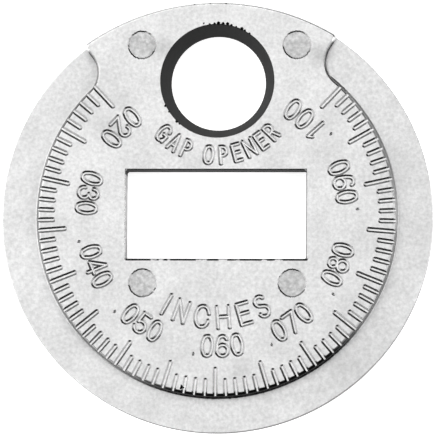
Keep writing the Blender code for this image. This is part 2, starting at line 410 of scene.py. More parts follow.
def hole_cutter():
    """The hole's profile, spun once round its axis."""
    slope = (HOLE_MOUTH - HOLE_LIP) / (BODY_THICKNESS - HOLE_LAND)
    profile = (
        (0.0, -HALF - OVERRUN),
        (HOLE_LIP, -HALF - OVERRUN),
        (HOLE_LIP, -HALF + HOLE_LAND),
        (HOLE_MOUTH + slope * OVERRUN, HALF + OVERRUN),
        (0.0, HALF + OVERRUN),
    )
    bm = bmesh.new()
    points = [bm.verts.new(HOLE_CENTRE + Vector((radius, 0.0, z))) for radius, z in profile]
    edges = [bm.edges.new(pair) for pair in zip(points, points[1:])]
    spin_full(bm, points + edges, HOLE_CENTRE, 144)
    bmesh.ops.remove_doubles(bm, verts=bm.verts, dist=1e-7)
    bmesh.ops.recalc_face_normals(bm, faces=bm.faces)
    return add_object("hole_cutter", to_mesh(bm, "hole_cutter"))


def pin_cutters():
    """The dishes that the ejector pins leave: a flat floor and a sloping, slightly uneven wall."""
    bm = bmesh.new()
    wear = random.Random(4)
    for centre in PIN_CENTRES:
        dish = bmesh.ops.create_cone(
            bm, cap_ends=True, cap_tris=False, segments=72, radius1=PIN_RADIUS,
            radius2=PIN_RADIUS + 2 * PIN_SLOPE, depth=2 * PIN_DEPTH,
            matrix=Matrix.Translation(centre + Vector((0, 0, HALF))),
        )
        for vert in dish["verts"]:
            outward = ((vert.co - centre) * Vector((1.0, 1.0, 0.0))).normalized()
            vert.co += outward * wear.uniform(-PIN_UNEVENNESS, PIN_UNEVENNESS)
    return add_object("pin_cutters", to_mesh(bm, "pin_cutters"))


boolean(casting, window_cutter(), "DIFFERENCE")
boolean(casting, window_mouth(), "DIFFERENCE")
boolean(casting, hole_cutter(), "DIFFERENCE")
boolean(casting, pin_cutters(), "DIFFERENCE")
print("casting:", len(casting.data.polygons), "faces")

# %% [markdown]
# ## Flaws of the casting and of use
#
# The edge of the hole's mouth is nicked by plug wires, the crown has small pits where the gate was
# broken off, and a gas hole opens just inside the step. Each is a steep cone of a few corners, cut
# before the strokes, because the strokes' fine meshes don't take well to more cuts of this kind. The
# lists are in degrees and millimetres: the angle about the hole, the radius and the size of each
# nick, the x and size of each gate pit, and the x, y and size of the gas hole.

# %% Nicks and pits
HOLE_NICKS = (
    (103.4, 7.58, 0.13), (98.0, 7.30, 0.17), (93.0, 7.34, 0.18), (89.0, 7.38, 0.27), (84.5, 7.35, 0.24),
    (80.0, 7.40, 0.26), (76.0, 7.34, 0.19), (71.0, 7.30, 0.15), (65.0, 7.34, 0.26), (61.5, 7.32, 0.18),
    (56.0, 7.32, 0.15), (206.0, 7.34, 0.19), (213.0, 7.30, 0.15), (225.3, 7.32, 0.22), (229.0, 7.30, 0.16),
)
GATE_PITS = ((-2.96, 0.16), (-0.97, 0.15), (1.08, 0.17))
GAS_HOLE = (-4.30, -21.72, 0.44)
PIT_STEEPNESS = 4.0
PIT_SINK = 0.45
PIT_TIP = 1 / 8
PIT_TURN = 900


def cut_pits(name, places, corners=6):
    """Cuts steep pits of a few corners, each turned its own way, that open at the front face."""
    for place, radius in places:
        bm = bmesh.new()
        depth = PIT_STEEPNESS * radius * MM
        middle = Matrix.Translation(place + Vector((0.0, 0.0, HALF - PIT_SINK * depth)))
        bmesh.ops.create_cone(
            bm, cap_ends=True, cap_tris=False, segments=corners, radius1=PIT_TIP * radius * MM,
            radius2=radius * MM, depth=depth, matrix=middle @ Matrix.Rotation(place.x * PIT_TURN, 4, "Z"),
        )
        boolean(casting, add_object(name, to_mesh(bm, name)), "DIFFERENCE")


def at_hole(radius, angle):
    """A place about the hole's centre, from millimetres and degrees."""
    return HOLE_CENTRE + polar(radius * MM, math.radians(angle))


def crown_edge(x):
    """A place on the crown's rounded edge."""
    rise = math.sqrt(CROWN_RADIUS**2 - x**2) - EDGE_ROUNDING / 3
    return Vector((x, CROWN_HEIGHT - CROWN_RADIUS + rise, 0.0))


cut_pits("nick", [(at_hole(radius, angle), size) for angle, radius, size in HOLE_NICKS])
cut_pits("gate_pit", [(crown_edge(x * MM), size) for x, size in GATE_PITS])
cut_pits("gas_hole", [(Vector(GAS_HOLE[:2] + (0.0,)) * MM, GAS_HOLE[2])], corners=3)
print("pitted casting:", len(casting.data.polygons), "faces")

# %% [markdown]
# ## Strokes that are sunk in the metal
#
# The graduations and letters stand up on the die as ridges of one width with sloping sides and round
# ends, so on the casting each is a groove of that shape. The ridge is what is drawn here: its
# section is laid across the start of the path, run ahead along the straights and spun round the
# bends, and half of the section is spun about each end to close it. The casting is then cut with it.
#
# Strokes are drawn in millimetres and made small when they are put in place.

# %% Strokes
STROKE_DEPTH = 0.18
MARK_FLOOR = 0.10
LETTER_FLOOR = 0.075
COVE = 0.03
COVE_RISE = 0.016
WALL = 0.18
LIP = 0.05
LIP_DROP = 0.02
LIP_OVERRUN = 0.006
CLEARANCE = 0.3
BEND_STEP = 10.0


def half_section(floor):
    """Flat floor, small cove, a wall at about forty degrees and an eased lip, then clear of the face."""
    lip = floor + COVE + WALL
    return (
        (0.0, -STROKE_DEPTH),
        (floor, -STROKE_DEPTH),
        (floor + COVE, COVE_RISE - STROKE_DEPTH),
        (lip, -LIP_DROP),
        (lip + LIP, LIP_OVERRUN),
        (lip + LIP, CLEARANCE),
        (0.0, CLEARANCE),
    )


def section_points(point, turn, side, floor):
    """Half of the section at a point, to the right (side -1) or left (side 1) of the heading."""
    across = Vector((math.cos(turn + side * math.pi / 2), math.sin(turn + side * math.pi / 2), 0.0))
    return [point + across * offset + Vector((0.0, 0.0, z)) for offset, z in half_section(floor)]


def new_chain(bm, points):
    verts = [bm.verts.new(point) for point in points]
    return verts, [bm.edges.new(pair) for pair in zip(verts, verts[1:])]


def run(bm, verts, edges, centre_or_step, angle):
    """Moves a chain of edges on: by a straight step, or round a centre by an angle."""
    if angle is None:
        result = bmesh.ops.extrude_edge_only(bm, edges=edges)["geom"]
        moved = [item for item in result if isinstance(item, bmesh.types.BMVert)]
        bmesh.ops.translate(bm, vec=centre_or_step, verts=moved)
    else:
        steps = max(1, math.ceil(abs(math.degrees(angle)) / BEND_STEP))
        result = bmesh.ops.spin(
            bm, geom=verts + edges, cent=centre_or_step, axis=(0, 0, 1), angle=angle, steps=steps,
            use_merge=False,
        )["geom_last"]
        moved = [item for item in result if isinstance(item, bmesh.types.BMVert)]
    return moved, [item for item in result if isinstance(item, bmesh.types.BMEdge)]


def stroke(bm, start, turn, moves, floor=LETTER_FLOOR, scale=1.0, round_end=True, closed=False):
    """One ridge. A move is (length, None) ahead or (radius, degrees) round a bend, left positive."""
    point = Vector((start[0], start[1], 0.0)) * scale
    turn = math.radians(turn)
    right = section_points(point, turn, -1, floor)
    left = section_points(point, turn, 1, floor)
    verts, edges = new_chain(bm, right + left[-2:0:-1])
    edges.append(bm.edges.new((verts[-1], verts[0])))
    if not closed:
        cap_verts, cap_edges = new_chain(bm, left)
        run(bm, cap_verts, cap_edges, point, math.pi)
    for size, bend_angle in moves:
        size *= scale
        if bend_angle is None:
            step = Vector((math.cos(turn), math.sin(turn), 0.0)) * size
            verts, edges = run(bm, verts, edges, step, None)
            point = point + step
        else:
            angle = math.radians(bend_angle)
            side = math.copysign(math.pi / 2, angle)
            centre = point + Vector((math.cos(turn + side), math.sin(turn + side), 0.0)) * size
            verts, edges = run(bm, verts, edges, centre, angle)
            point = centre + Matrix.Rotation(angle, 3, "Z") @ (point - centre)
            turn += angle
    if not closed and round_end:
        cap_verts, cap_edges = new_chain(bm, section_points(point, turn, -1, floor))
        run(bm, cap_verts, cap_edges, point, math.pi)
    if not closed and not round_end:
        bmesh.ops.contextual_create(bm, geom=edges)
    bmesh.ops.remove_doubles(bm, verts=bm.verts, dist=1e-4)
    bmesh.ops.recalc_face_normals(bm, faces=bm.faces)


# %% [markdown]
# ## The graduations
#
# There is one for every thousandth of an inch on the front, eighty-one in all, and one for every
# twentieth of a millimetre on the back. Each starts with a round end and runs out through the
# step at the scale's edge, which notches its rounding, and every fifth is longer.

# %% Graduations
LONG_MARK_START = 19.25
SHORT_MARK_START = 20.7
MARK_END = SCALE_RADIUS / MM + 1.0
MARK_INSET = 0.1
FRONT = Matrix.Translation((0, 0, HALF)) @ Matrix.Scale(MM, 4)
BACK = Matrix.Translation((0, 0, -HALF)) @ Matrix.Rotation(math.pi, 4, "Y") @ Matrix.Scale(MM, 4)


def engrave(cutter):
    """Cuts the casting with a closed solid and says what is left."""
    name = cutter.name
    boolean(casting, cutter, "DIFFERENCE", "MANIFOLD")
    print("cut", name, "leaving", len(casting.data.polygons), "faces")


def graduations(name, angles, place):
    whole = bmesh.new()
    for i, angle in enumerate(angles):
        inner = (SHORT_MARK_START if i % 5 else LONG_MARK_START) + MARK_FLOOR + MARK_INSET
        bm = bmesh.new()
        ahead = [(MARK_END - inner, None)]
        stroke(bm, polar(inner, angle), math.degrees(angle), ahead, floor=MARK_FLOOR, round_end=False)
        mark = to_mesh(bm, "mark")
        whole.from_mesh(mark)
        bpy.data.meshes.remove(mark)
    bmesh.ops.transform(whole, matrix=place, verts=whole.verts)
    print(name, "faces", len(whole.faces), "open edges", sum(not edge.is_manifold for edge in whole.edges))
    return add_object(name, to_mesh(whole, name))


inch_angles = [gap_angle((20 + i) * 0.001 * INCH) for i in range(81)]
mm_angles = [math.pi - gap_angle((0.5 + 0.05 * i) * MM) for i in range(41)]
engrave(graduations("inch_graduations", inch_angles, FRONT))
engrave(graduations("mm_graduations", mm_angles, BACK))

# %% [markdown]
# ## The figures and letters
#
# Each character is a few strokes on a box 2.5 mm high, with its middle at x = 0. The narrow noughts
# are ovals of four arcs: two tight ones at the tips and two wide ones at the sides, which meet
# without a kink where the line through both centres crosses them.
#
# Where strokes of one character cross, they are joined by a boolean, so the character is one solid
# and nothing is left inside it.

# %% Characters
BOX_HEIGHT = 2.5


def oval_arcs(width, height, tip):
    """The side radius of a four-arc oval and the half angle, in degrees, that a side arc spans."""
    a, b = width / 2, height / 2
    side = (a * a + (b - tip) ** 2 - tip * tip) / (2 * (a - tip))
    return side, math.degrees(math.atan2(b - tip, side - a))


def oval(width, height, tip, x=0.0, y=0.0):
    """A closed oval stroke about (x, y)."""
    side, half = oval_arcs(width, height, tip)
    turn = math.radians(-half)
    start = (x + width / 2 - side + side * math.cos(turn), y + side * math.sin(turn))
    moves = [(side, 2 * half), (tip, 180 - 2 * half)] * 2
    return start, 90 - half, moves, True


def line(x1, y1, x2, y2):
    length = math.hypot(x2 - x1, y2 - y1)
    return (x1, y1), math.degrees(math.atan2(y2 - y1, x2 - x1)), [(length, None)], False


def circle(x, y, radius):
    return (x + radius, y), 90.0, [(radius, 360.0)], True


def arc(x, y, radius, first, sweep, more=()):
    """A bend about (x, y) from a direction, then more moves."""
    turn = math.radians(first)
    start = (x + radius * math.cos(turn), y + radius * math.sin(turn))
    return start, first + math.copysign(90, sweep), [(radius, sweep)] + list(more), False


def open_oval(width, height, tip, gap):
    """An oval left open on its right, over gap degrees each way from the side's middle."""
    side, half = oval_arcs(width, height, tip)
    turn = math.radians(gap)
    start = (width / 2 - side + side * math.cos(turn), height / 2 + side * math.sin(turn))
    tips = (tip, 180 - 2 * half)
    return start, 90 + gap, [(side, half - gap), tips, (side, 2 * half), tips, (side, half - gap)], False


def half_turn(strokes):
    """A character turned upside down about the middle of its box."""
    return [
        ((-start[0], BOX_HEIGHT - start[1]), turn + 180, moves, closed)
        for start, turn, moves, closed in strokes
    ]


def three_bars(left, top, middle, foot):
    """An upright at the left with three bars, whose right ends are given."""
    bars = [line(left, y, end, y) for y, end in ((BOX_HEIGHT, top), (1.3, middle), (0, foot))]
    return [line(left, 0, left, BOX_HEIGHT)] + bars


SIX = [circle(0, 0.70, 0.70), ((-0.70, 0.70), 90.0, [(4.0, -21.2), (0.55, -138.8)], False)]
CHARACTERS = {
    "0": [oval(1.31, 2.5, 0.5, 0, 1.25)],
    "1": [line(0, 0, 0, 2.5), line(-0.42, 2.13, 0, 2.5)],
    "2": [arc(0, 1.88, 0.62, 195, -233, [(1.90, None)]), line(-0.68, 0, 0.70, 0)],
    "3": [arc(0, 1.90, 0.60, 185, -250), arc(0, 0.68, 0.68, 80, -265)],
    "4": [line(-0.75, 0.68, 0.34, 2.5), line(-0.75, 0.68, 0.80, 0.68), line(0.36, 2.5, 0.36, 0)],
    "5": [
        line(-0.47, 2.5, 0.52, 2.5), line(-0.47, 2.5, -0.52, 1.22), arc(0, 0.72, 0.72, 135, -295),
    ],
    "6": SIX,
    "7": [line(-0.72, 2.5, 0.70, 2.5), line(0.70, 2.5, -0.35, 0)],
    "8": [circle(0, 1.95, 0.55), circle(0, 0.69, 0.69)],
    "9": half_turn(SIX),
    "I": [line(0, 0, 0, 2.5)],
    "N": [line(-0.65, 0, -0.65, 2.5), line(-0.65, 2.5, 0.65, 0), line(0.65, 0, 0.65, 2.5)],
    "C": [open_oval(1.64, 2.5, 0.68, 13.5)],
    "H": [line(-0.7, 0, -0.7, 2.5), line(-0.7, 1.3, 0.7, 1.3), line(0.7, 0, 0.7, 2.5)],
    "E": three_bars(-0.66, 0.68, 0.5, 0.62),
    "S": [arc(0, 1.92, 0.58, 25, 222.4, [(0.5, None), (0.62, -230)])],
    "M": [
        line(-0.8, 0, -0.8, 2.5), line(-0.8, 2.5, 0, 0.7), line(0, 0.7, 0.8, 2.5), line(0.8, 2.5, 0.8, 0),
    ],
    "G": [
        open_oval(1.4, 2.5, 0.58, 14.0), line(0.68, 1.15, 0.68, 0.1), line(0.15, 1.15, 0.68, 1.15),
    ],
    "A": [line(-0.58, 0, 0, 2.5), line(0, 2.5, 0.58, 0), line(-0.4, 0.78, 0.4, 0.78)],
    "P": [
        line(-0.46, 0, -0.46, 2.5),
        ((-0.46, 2.5), 0.0, [(0.32, None), (0.67, -180), (0.32, None)], False),
    ],
    "O": [oval(1.31, 2.5, 0.5, 0, 1.25)],
    "R": [
        line(-0.5, 0, -0.5, 2.5),
        ((-0.5, 2.5), 0.0, [(0.4, None), (0.65, -180), (0.4, None)], False),
        line(0.1, 1.2, 0.55, 0),
    ],
    "narrow E": three_bars(-0.5, 0.52, 0.4, 0.48),
}
glyph_meshes = {}


def character(letter, scale):
    """The character's solid in millimetres, made once and kept."""
    key = (letter, scale)
    if key not in glyph_meshes:
        parts = []
        for start, turn, moves, closed in CHARACTERS[letter]:
            bm = bmesh.new()
            stroke(bm, start, turn, moves, scale=scale, closed=closed)
            parts.append(add_object("stroke", to_mesh(bm, "stroke")))
        body = parts[0]
        for tool in parts[1:]:
            boolean(body, tool, "UNION", "MANIFOLD")
        glyph_meshes[key] = body.data
        bpy.data.objects.remove(body)
    return glyph_meshes[key]


POINT_SHAPE = (0.72, 1.15, 0.88)


def point_mesh():
    """The decimal point: the half section without a floor, spun right round and made narrower."""
    if "." not in glyph_meshes:
        bm = bmesh.new()
        verts, edges = new_chain(bm, [Vector((offset, 0.0, z)) for offset, z in half_section(0.0)])
        spin_full(bm, verts + edges, (0, 0, 0), 24)
        bmesh.ops.remove_doubles(bm, verts=bm.verts, dist=1e-4)
        bmesh.ops.recalc_face_normals(bm, faces=bm.faces)
        bmesh.ops.scale(bm, vec=POINT_SHAPE, verts=bm.verts)
        glyph_meshes["."] = to_mesh(bm, "point")
    return glyph_meshes["."]


# %% [markdown]
# ## Setting the characters round an arc
#
# All the lettering reads with its tops towards a centre: the figures towards the coin's centre and
# the two words under the hole towards the hole. Each character is turned to its own place on the
# arc, as on the real die.

# %% Labels
def set_character(whole, mesh, centre, radius, angle, height):
    """Puts a character with its middle at a radius and an angle in degrees about a centre."""
    turn = math.radians(angle)
    middle = centre + polar(radius, turn)
    upright = Matrix.Rotation(turn + math.pi / 2, 4, "Z")
    place = Matrix.Translation(middle) @ upright @ Matrix.Translation((0, -height / 2, 0))
    piece = add_object("character", mesh.copy())
    piece.data.transform(place)
    whole.append(piece)


def finish_label(whole, name, place):
    """Joins the characters, whose lips can touch, and cuts the casting with them."""
    label = whole[0]
    label.name = name
    for piece in whole[1:]:
        boolean(label, piece, "UNION", "MANIFOLD")
    label.data.transform(place)
    engrave(label)


FIGURE_PITCH = 6.6
POINT_ANGLE = 5.5
POINT_DROP = 1.2
# Text, angle of its middle digit, radius and whether it has a point.
INCH_LABELS = (
    ("020", 136.9, 16.72, False), ("030", 169.6, 16.65, False), ("040", 202.4, 16.60, True),
    ("050", 235.3, 16.52, True), ("060", 272.8, 16.51, True), ("070", 305.7, 16.58, True),
    ("080", 338.6, 16.67, True), ("090", 375.3, 16.78, True), ("100", 408.2, 16.77, True),
)


def inch_numerals():
    whole = []
    for text, middle, radius, has_point in INCH_LABELS:
        for i, digit in enumerate(text):
            angle = middle + (i - 1) * FIGURE_PITCH
            set_character(whole, character(digit, 1.0), Vector(), radius, angle, BOX_HEIGHT)
        if has_point:
            angle = middle - FIGURE_PITCH - POINT_ANGLE
            set_character(whole, point_mesh(), Vector(), radius + POINT_DROP, angle, 0.0)
    finish_label(whole, "inch_numerals", FRONT)


def word(name, letters, centre, radius, scale, place):
    whole = []
    for letter, angle in letters:
        set_character(whole, character(letter, scale), centre, radius, angle, BOX_HEIGHT * scale)
    finish_label(whole, name, place)


inch_numerals()
UNIT_LETTERS = (("I", 240.6), ("N", 249.9), ("C", 262.2), ("H", 274.15), ("E", 286.2), ("S", 297.0))
word("unit_word", UNIT_LETTERS, Vector(), 12.84, 1.056, FRONT)
OPENER_LETTERS = (
    ("G", 224.8), ("A", 235.7), ("P", 245.9), ("O", 263.7), ("P", 275.0),
    ("narrow E", 285.5), ("N", 296.1), ("narrow E", 306.2), ("R", 316.3),
)
word("opener_words", OPENER_LETTERS, HOLE_CENTRE / MM, 9.54, 0.84, FRONT)

# %% [markdown]
# The back has the same scale in millimetres, a figure at every half millimetre.

# %% Labels on the back
FIGURE_RADIUS = 16.5
HALF_PITCH = 4.6


def mm_numerals():
    whole = []
    for gap in (0.5, 1.0, 1.5, 2.0, 2.5):
        middle = 180.0 - math.degrees(gap_angle(gap * MM))
        whole_part, tenth = f"{gap:.1f}".split(".")
        for digit, angle in ((whole_part, middle - HALF_PITCH), (tenth, middle + HALF_PITCH)):
            set_character(whole, character(digit, 1.0), Vector(), FIGURE_RADIUS, angle, BOX_HEIGHT)
        set_character(whole, point_mesh(), Vector(), FIGURE_RADIUS + POINT_DROP, middle, 0.0)
    finish_label(whole, "mm_numerals", BACK)


mm_numerals()
word("back_unit_word", (("M", 263.0), ("M", 277.0)), Vector(), 12.78, 1.056, BACK)

# %% [markdown]
# ## Putting the casting in place
#
# The casting was drawn about its middle plane, so it goes up by half its thickness. Weighted normals
# keep the big flat faces flat in the light while the eased edges stay round.

# %% Place and shade
SLIVER = 0.0001 * MM


def clear_slivers(obj):
    """Takes out the slivers that the cuts leave and closes the mesh again."""
    bm = bmesh.new()
    bm.from_mesh(obj.data)
    bmesh.ops.dissolve_degenerate(bm, dist=SLIVER, edges=bm.edges)
    bmesh.ops.holes_fill(bm, edges=[edge for edge in bm.edges if edge.is_boundary], sides=0)
    bmesh.ops.delete(bm, geom=[edge for edge in bm.edges if edge.is_wire], context="EDGES")
    bmesh.ops.delete(bm, geom=[vert for vert in bm.verts if not vert.link_faces], context="VERTS")
    bmesh.ops.recalc_face_normals(bm, faces=bm.faces)
    print("edges without two faces:", sum(not edge.is_manifold for edge in bm.edges))
    bm.to_mesh(obj.data)
    bm.free()


clear_slivers(casting)
casting.data.transform(Matrix.Translation((0, 0, MIDDLE)))
casting.data.shade_smooth()
casting.data.set_sharp_from_angle(angle=math.radians(22))
weighted = casting.modifiers.new("weighted", "WEIGHTED_NORMAL")
weighted.keep_sharp = True
weighted.weight = 100
print("casting:", len(casting.data.polygons), "faces")

# %% [markdown]
# ## Helpers for materials
#
# A material is a tree of nodes. These functions each add one node and hand back its output, so a
# finish can be written as a few lines of sums. Colours are written as sRGB hex, as a paint chart
# gives them, and one function turns them into the linear values that the renderer adds up.

# %% Helpers for materials
WHITE = (1.0, 1.0, 1.0, 1.0)


def colour(text):
    """An sRGB hex value as linear colour."""
    values = [int(text[i : i + 2], 16) / 255 for i in (1, 3, 5)]
    return [v / 12.92 if v <= 0.04045 else ((v + 0.055) / 1.055) ** 2.4 for v in values] + [1.0]


def node(tree, kind, settings=None, inputs=None):
    """Adds a node, sets its properties, and sets or links its inputs."""
    new = tree.nodes.new(kind)
    for name, value in (settings or {}).items():
        setattr(new, name, value)
    for name, value in (inputs or {}).items():
        if isinstance(value, bpy.types.NodeSocket):
            tree.links.new(value, new.inputs[name])
        else:
            new.inputs[name].default_value = value
    return new


def calculate(tree, operation, *values):
    """The result of a sum on numbers."""
    return node(tree, "ShaderNodeMath", {"operation": operation}, dict(enumerate(values))).outputs[0]


def product(tree, first, *others):
    """All the numbers multiplied together."""
    for value in others:
        first = calculate(tree, "MULTIPLY", first, value)
    return first


def vector_sum(tree, operation, *values):
    """The outputs of a sum on vectors or colours: the first is a vector, Value is a number."""
    return node(tree, "ShaderNodeVectorMath", {"operation": operation}, dict(enumerate(values))).outputs


def fade(tree, value, start, end, low=0.0, high=1.0, interpolation="LINEAR"):
    """A number that runs from low at start to high at end, and holds outside them."""
    return node(tree, "ShaderNodeMapRange", {"interpolation_type": interpolation}, {
        "Value": value, "From Min": start, "From Max": end, "To Min": low, "To Max": high,
    }).outputs["Result"]


def mix(tree, factor, first, second):
    """A blend of two colours."""
    return node(tree, "ShaderNodeMix", {"data_type": "RGBA"}, {0: factor, 6: first, 7: second}).outputs[2]


def noise(tree, place, size, detail, roughness=0.5):
    """A noise whose features measure about a size."""
    return node(tree, "ShaderNodeTexNoise", inputs={
        "Vector": place, "Scale": 1 / size, "Detail": detail, "Roughness": roughness,
    }).outputs


def ramp(tree, value, stops):
    """A colour for each number, from stops of position and linear colour in rising order."""
    new = node(tree, "ShaderNodeValToRGB", inputs={"Fac": value})
    elements = new.color_ramp.elements
    for element, stop in zip((elements[0], elements[1]), (stops[0], stops[-1])):
        element.position, element.color = stop
    for position, tint in stops[1:-1]:
        elements.new(position).color = tint
    return new.outputs["Color"]


# %% [markdown]
# ## The tone of the faces
#
# Bare die-cast zinc is light grey. Close up it has a fine mottle from the flow of the metal, a slow
# cloudiness and a few handled smudges, which are soft spots at given places. The flange, the floors
# of the strokes and the faces differ a little in tone, so the tone follows the height above or below
# the middle plane. The ends of the ejector pins were left rough, so the floors of their marks are
# blotched.

# %% The tone of the faces
MOTTLE_SIZE = 0.45 * MM
CLOUD_SIZE = 5.0 * MM
BLOTCH_SIZE = 0.55 * MM
SMUDGE_WANDER = 2.0 * MM
# Millimetres from the middle plane: flange, strokes' floors, floors of the pin marks, faces.
HEIGHT_TONES = (
    (1.45, "#DDDDDD"), (1.84, "#E6E6E6"), (1.86, "#C8C8C8"), (1.90, "#C8C8C8"), (1.93, "#DCDCDC"),
    (HALF / MM, "#DCDCDC"),
)
# Place and size in millimetres, and how much light is left or gained in the middle.
SMUDGES = (
    (3.3, -19.4, 2.2, 0.84), (-7.2, 21.6, 2.4, 0.80), (-13.8, 11.2, 3.0, 0.86), (-12.0, 14.8, 2.4, 0.88),
    (13.0, 20.8, 2.2, 0.80), (-16.5, 2.0, 2.6, 0.93), (9.6, 7.0, 1.3, 1.10), (14.5, 4.5, 3.0, 1.07),
    (-19.2, 16.1, 8.0, 0.93), (17.7, -17.7, 8.0, 0.90), (-2.0, 7.0, 3.2, 0.91),
)


def face_tone(tree, place, height, mottle):
    """The metal's colour before the painted shade of the slopes."""
    rise = calculate(tree, "ABSOLUTE", calculate(tree, "SUBTRACT", height, MIDDLE))
    stops = [(level * MM / HALF, colour(text)) for level, text in HEIGHT_TONES]
    tone = ramp(tree, calculate(tree, "DIVIDE", rise, HALF), stops)
    cloud = noise(tree, place, CLOUD_SIZE, 4.0, 0.65)
    grain = fade(tree, mottle, 0.3, 0.7, 0.86, 1.07)
    wear = product(tree, grain, fade(tree, cloud["Fac"], 0.35, 0.65, 0.91, 1.03))
    wander = (SMUDGE_WANDER, SMUDGE_WANDER, 0.0)
    wandering = vector_sum(tree, "MULTIPLY_ADD", cloud["Color"], wander, place)[0]
    for x, y, size, strength in SMUDGES:
        spot = Vector((x * MM + SMUDGE_WANDER / 2, y * MM + SMUDGE_WANDER / 2, HIGH.z))
        away = vector_sum(tree, "DISTANCE", wandering, spot)["Value"]
        wear = product(tree, wear, fade(tree, away, 0.0, size * MM, strength, 1.0, "SMOOTHSTEP"))
    blotch = fade(tree, noise(tree, place, BLOTCH_SIZE, 2.0, 0.6)["Fac"], 0.35, 0.65, -0.2, 0.12)
    above_strokes = fade(tree, rise, 1.85 * MM, 1.87 * MM)
    below_faces = fade(tree, rise, 1.94 * MM, 1.90 * MM)
    blotch = product(tree, blotch, above_strokes, below_faces)
    wear = calculate(tree, "MULTIPLY_ADD", wear, blotch, wear)
    return node(tree, "ShaderNodeVectorMath", {"operation": "SCALE"}, {0: tone, "Scale": wear}).outputs[0]


# %% [markdown]
# ## The slopes
#
# The steep walls of the strokes, the window and the hole are painted dark and the half-steep ones
# grey: this is painted shade, darker the steeper the wall. The steepest walls are also a dull surface
# with no metal shine, and the half-steep ones are shinier than the faces. The step at the scale's edge
# counts as gentler than it is, most on its right side, which lifts its painted shade there. On the
# trimmed outer rim the painted shade is next to nothing at the top and stronger at the bottom.

# %% The slopes
# The side on which the step's painted shade is lifted most.
SHADE_LIFT_DIRECTION = math.radians(20.0)
# How much a surface faces up or down, and the painted shade that goes with it.
PAINTED_SLOPE_SHADES = ((0.35, "#2B2B2B"), (0.55, "#8A8A8A"), (0.8, "#A0A0A0"), (0.9, "#B4B4B4"), (0.975, "#FFFFFF"))
SLOPE_ROUGHNESS = ((0.35, 0.75), (0.5, 0.22), (0.9, 0.22), (0.98, 0.6))
# The two ends of each fade, as radii or as distances across the coin.
STEP_EDGE = (22.3 * MM, 22.45 * MM)
CROWN_FOOT = (20.2 * MM, 19.8 * MM)
FLANGE_EDGE = (26.8 * MM, 26.6 * MM)
SHADE_LIFT_SPAN = (0.78 * SCALE_RADIUS, 0.92 * SCALE_RADIUS)
# Where the rim takes the painted shade: more of it towards the bottom.
RIM_EDGE = (26.7 * MM, 27.0 * MM)
RIM_SPAN = (2.0 * MM, -16.0 * MM)
# How gentle the step counts as, which lifts its painted shade, and how much more so on its right side.
STEP_SHADE_LIFT = 0.62
SHADE_LIFT_GAIN = 1.5


def gentle_slope(tree, place, steep, radius, north):
    """How much the surface faces up or down, raised on the step so that its painted shade is lighter there,
    most on its right side.
    """
    step_lift = fade(tree, radius, *STEP_EDGE, 0.0, STEP_SHADE_LIFT)
    below_crown = fade(tree, north, *CROWN_FOOT)
    on_flange = fade(tree, radius, *FLANGE_EDGE)
    right_side = vector_sum(tree, "DOT_PRODUCT", place, polar(1.0, SHADE_LIFT_DIRECTION))["Value"]
    side_lift = fade(tree, right_side, *SHADE_LIFT_SPAN, 1.0, SHADE_LIFT_GAIN)
    return calculate(tree, "MAXIMUM", steep, product(tree, step_lift, below_crown, on_flange, side_lift))


def slope_shade_share(tree, radius, north):
    """The share of painted slope shade and dull surface at each place: 1 inside the rim and less on it,
    next to nothing at the top and more than half at the bottom.
    """
    inside = fade(tree, radius, *RIM_EDGE, 1.0, 0.0)
    return calculate(tree, "MAXIMUM", inside, fade(tree, north, *RIM_SPAN, 0.06, 0.62))


# %% [markdown]
# ## Painted light and shade at the window and the step
#
# The window's left wall, which faces right, is painted bright in patches: this is painted light. A
# broken dark line of painted shade runs along the window's lower edge on the front. Painted shade sits
# in the lower corner of the step, with a ragged edge. Each is a colour laid over the metal by a mask,
# and a mask is a few fades multiplied together.

# %% Painted light and shade at the window and the step
# The side of the step whose corner takes painted shade, with a ragged edge, then the window's patches.
CORNER_SHADE_DIRECTION = math.radians(284.0)
PATCH_SIZE = 0.9 * MM
PATCH_LEVELS = (0.43, 0.5)
WINDOW_REACH = (12.9 * MM, 12.8 * MM)
RAGGEDNESS = 0.5 * MM
CORNER_SHADE_SPAN = (0.76 * SCALE_RADIUS, 0.88 * SCALE_RADIUS)
CORNER_SHADE_INNER_EDGE = (22.55 * MM, 22.75 * MM)
CORNER_SHADE_OUTER_EDGE = (23.42 * MM, 23.27 * MM)
CORNER_SHADE_SLOPE = (0.999, 0.985)


def paint_window_light_and_shade(tree, place, base, facing, radius, north, height):
    """Patches of painted light on the window's left wall and of painted shade along its lower edge."""
    patchy = noise(tree, place, PATCH_SIZE, 1.0)["Fac"]
    off_centre = calculate(tree, "ABSOLUTE", calculate(tree, "SUBTRACT", north, SLOT_CENTRE.y))
    edge = SLOT_WIDTH / 2 + 2 * SLOT_EASING
    near_sides = fade(tree, off_centre, edge + 0.1 * MM, edge)
    at_window = product(tree, near_sides, fade(tree, radius, *WINDOW_REACH))
    past_edge = calculate(tree, "SUBTRACT", SLOT_CENTRE.y - SLOT_WIDTH / 2, north)
    near_face = calculate(tree, "SUBTRACT", height, HIGH.z - 0.25 * MM)
    front_edge = calculate(tree, "MINIMUM", past_edge, near_face)
    # Painted light on the wall that faces right, then a broken line of painted shade along the lower edge
    # on the front.
    for value, start, end, least, text in (
        (facing, 0.4, 0.6, 0.72, "#E4E4E4"),
        (front_edge, -0.05 * MM, 0.0, 0.0, "#2A2A2A"),
    ):
        patches = fade(tree, patchy, *PATCH_LEVELS, least)
        patch = product(tree, patches, fade(tree, value, start, end), at_window)
        base = mix(tree, patch, base, colour(text))
    return base


